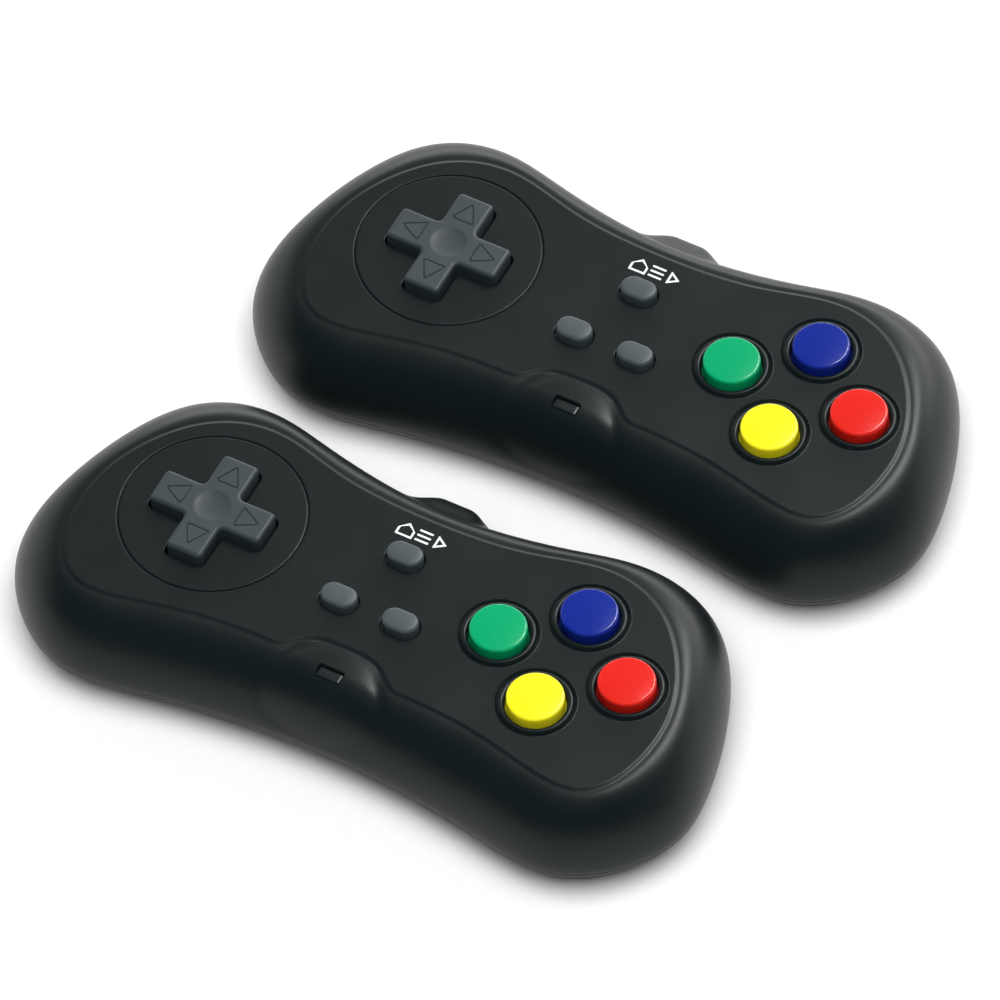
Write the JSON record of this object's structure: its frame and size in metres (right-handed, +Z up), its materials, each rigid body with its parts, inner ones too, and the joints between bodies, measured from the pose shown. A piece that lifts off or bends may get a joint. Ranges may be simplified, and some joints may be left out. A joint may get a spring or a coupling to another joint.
{
  "type": "handheld game console with controller",
  "caption": "Pair of matching two-hand game handsets with a direction pad, round coloured action buttons and small menu buttons, in shallow two-shell cases.",
  "frame": {"origin": "middle of the pair's bounding box, on the table", "axes": "+X along the handsets from the direction pad to the action buttons, +Y away from the player, +Z up"},
  "size_m": [0.1552, 0.144, 0.0247],
  "materials": {
    "case_charcoal": "fine satin texture",
    "case_dark": "fine satin texture",
    "pad_grey": "matte",
    "pill_grey": "matte",
    "green": "gloss",
    "blue": "gloss",
    "yellow": "gloss",
    "red": "gloss",
    "steel": "bright",
    "screw_steel": "zinc plated",
    "natural_plastic": "matte",
    "silicone": "matte",
    "carbon": "matte",
    "board_green": "solder mask",
    "chip_black": "matte",
    "led_red": "clear epoxy",
    "window_red": "smoked, translucent",
    "black_plastic": "matte",
    "cell_sleeve": "printed sleeve"
  },
  "bodies": {
    "console_case": {"console_top_shell": "case_charcoal", "console_bottom_shell": "case_dark", "console_dpad_post": "natural_plastic", "console_dpad_membrane": "silicone", "console_action_membrane": "silicone", "console_menu_membrane": "silicone", "console_contact_pills": "carbon", "console_main_board": "board_green", "console_board_chips": "chip_black", "console_crystal": "steel", "console_status_led": "led_red", "console_led_window": "window_red", "console_av_jack": "black_plastic", "console_power_switch": "steel", "console_battery_cells": "cell_sleeve", "console_battery_contacts": "steel", "console_case_screws": "screw_steel", "console_board_screws": "screw_steel"},
    "console_pivot_ball": {"console_dpad_pivot": "steel"},
    "console_pad": {"console_dpad": "pad_grey"},
    "console_green": {"console_button_green": "green"},
    "console_blue": {"console_button_blue": "blue"},
    "console_yellow": {"console_button_yellow": "yellow"},
    "console_red": {"console_button_red": "red"},
    "console_menu": {"console_button_menu": "pill_grey"},
    "console_select": {"console_button_select": "pill_grey"},
    "console_start": {"console_button_start": "pill_grey"},
    "console_switch_knob": {"console_power_slider": "black_plastic"},
    "console_door": {"console_battery_door": "case_dark", "console_door_screw": "screw_steel"},
    "controller_case": {"controller_top_shell": "case_charcoal", "controller_bottom_shell": "case_dark", "controller_dpad_post": "natural_plastic", "controller_dpad_membrane": "silicone", "controller_action_membrane": "silicone", "controller_menu_membrane": "silicone", "controller_contact_pills": "carbon", "controller_main_board": "board_green", "controller_board_chips": "chip_black", "controller_crystal": "steel", "controller_status_led": "led_red", "controller_led_window": "window_red", "controller_av_jack": "black_plastic", "controller_power_switch": "steel", "controller_battery_cells": "cell_sleeve", "controller_battery_contacts": "steel", "controller_case_screws": "screw_steel", "controller_board_screws": "screw_steel"},
    "controller_pivot_ball": {"controller_dpad_pivot": "steel"},
    "controller_pad": {"controller_dpad": "pad_grey"},
    "controller_green": {"controller_button_green": "green"},
    "controller_blue": {"controller_button_blue": "blue"},
    "controller_yellow": {"controller_button_yellow": "yellow"},
    "controller_red": {"controller_button_red": "red"},
    "controller_menu": {"controller_button_menu": "pill_grey"},
    "controller_select": {"controller_button_select": "pill_grey"},
    "controller_start": {"controller_button_start": "pill_grey"},
    "controller_switch_knob": {"controller_power_slider": "black_plastic"},
    "controller_door": {"controller_battery_door": "case_dark", "controller_door_screw": "screw_steel"}
  },
  "joints": [
    {"name": "console_pad_left_right", "type": "hinge", "parent": "console_case", "child": "console_pivot_ball", "pos_m": [-0.04295, -0.03594, 0.0194], "axis": [0, 1, 0], "range_deg": [-4, 4], "stiffness_Nm_per_rad": 0.12},
    {"name": "console_pad_up_down", "type": "hinge", "parent": "console_pivot_ball", "child": "console_pad", "pos_m": [-0.04295, -0.03594, 0.0194], "axis": [1, 0, 0], "range_deg": [-4, 4], "stiffness_Nm_per_rad": 0.12},
    {"name": "console_green_press", "type": "slide", "parent": "console_case", "child": "console_green", "axis": [0, 0, -1], "range_m": [0, 0.0012], "stiffness_N_per_m": 600, "springref_m": -0.0005},
    {"name": "console_blue_press", "type": "slide", "parent": "console_case", "child": "console_blue", "axis": [0, 0, -1], "range_m": [0, 0.0012], "stiffness_N_per_m": 600, "springref_m": -0.0005},
    {"name": "console_yellow_press", "type": "slide", "parent": "console_case", "child": "console_yellow", "axis": [0, 0, -1], "range_m": [0, 0.0012], "stiffness_N_per_m": 600, "springref_m": -0.0005},
    {"name": "console_red_press", "type": "slide", "parent": "console_case", "child": "console_red", "axis": [0, 0, -1], "range_m": [0, 0.0012], "stiffness_N_per_m": 600, "springref_m": -0.0005},
    {"name": "console_menu_press", "type": "slide", "parent": "console_case", "child": "console_menu", "axis": [0, 0, -1], "range_m": [0, 0.001], "stiffness_N_per_m": 600, "springref_m": -0.0005},
    {"name": "console_select_press", "type": "slide", "parent": "console_case", "child": "console_select", "axis": [0, 0, -1], "range_m": [0, 0.001], "stiffness_N_per_m": 600, "springref_m": -0.0005},
    {"name": "console_start_press", "type": "slide", "parent": "console_case", "child": "console_start", "axis": [0, 0, -1], "range_m": [0, 0.001], "stiffness_N_per_m": 600, "springref_m": -0.0005},
    {"name": "console_power_slide", "type": "slide", "parent": "console_case", "child": "console_switch_knob", "axis": [1, 0, 0], "range_m": [0, 0.0025]},
    {"name": "console_door_lift_off", "type": "slide", "parent": "console_case", "child": "console_door", "axis": [0, 0, -1], "range_m": [0, 0.03]},
    {"name": "controller_pad_left_right", "type": "hinge", "parent": "controller_case", "child": "controller_pivot_ball", "pos_m": [-0.03265, 0.04026, 0.0194], "axis": [0, 1, 0], "range_deg": [-4, 4], "stiffness_Nm_per_rad": 0.12},
    {"name": "controller_pad_up_down", "type": "hinge", "parent": "controller_pivot_ball", "child": "controller_pad", "pos_m": [-0.03265, 0.04026, 0.0194], "axis": [1, 0, 0], "range_deg": [-4, 4], "stiffness_Nm_per_rad": 0.12},
    {"name": "controller_green_press", "type": "slide", "parent": "controller_case", "child": "controller_green", "axis": [0, 0, -1], "range_m": [0, 0.0012], "stiffness_N_per_m": 600, "springref_m": -0.0005},
    {"name": "controller_blue_press", "type": "slide", "parent": "controller_case", "child": "controller_blue", "axis": [0, 0, -1], "range_m": [0, 0.0012], "stiffness_N_per_m": 600, "springref_m": -0.0005},
    {"name": "controller_yellow_press", "type": "slide", "parent": "controller_case", "child": "controller_yellow", "axis": [0, 0, -1], "range_m": [0, 0.0012], "stiffness_N_per_m": 600, "springref_m": -0.0005},
    {"name": "controller_red_press", "type": "slide", "parent": "controller_case", "child": "controller_red", "axis": [0, 0, -1], "range_m": [0, 0.0012], "stiffness_N_per_m": 600, "springref_m": -0.0005},
    {"name": "controller_menu_press", "type": "slide", "parent": "controller_case", "child": "controller_menu", "axis": [0, 0, -1], "range_m": [0, 0.001], "stiffness_N_per_m": 600, "springref_m": -0.0005},
    {"name": "controller_select_press", "type": "slide", "parent": "controller_case", "child": "controller_select", "axis": [0, 0, -1], "range_m": [0, 0.001], "stiffness_N_per_m": 600, "springref_m": -0.0005},
    {"name": "controller_start_press", "type": "slide", "parent": "controller_case", "child": "controller_start", "axis": [0, 0, -1], "range_m": [0, 0.001], "stiffness_N_per_m": 600, "springref_m": -0.0005},
    {"name": "controller_power_slide", "type": "slide", "parent": "controller_case", "child": "controller_switch_knob", "axis": [1, 0, 0], "range_m": [0, 0.0025]},
    {"name": "controller_door_lift_off", "type": "slide", "parent": "controller_case", "child": "controller_door", "axis": [0, 0, -1], "range_m": [0, 0.03]},
    {"name": "controller_lift_off", "type": "slide", "parent": "console_case", "child": "controller_case", "axis": [0, 0, 1], "range_m": [0, 0.1]}
  ]
}
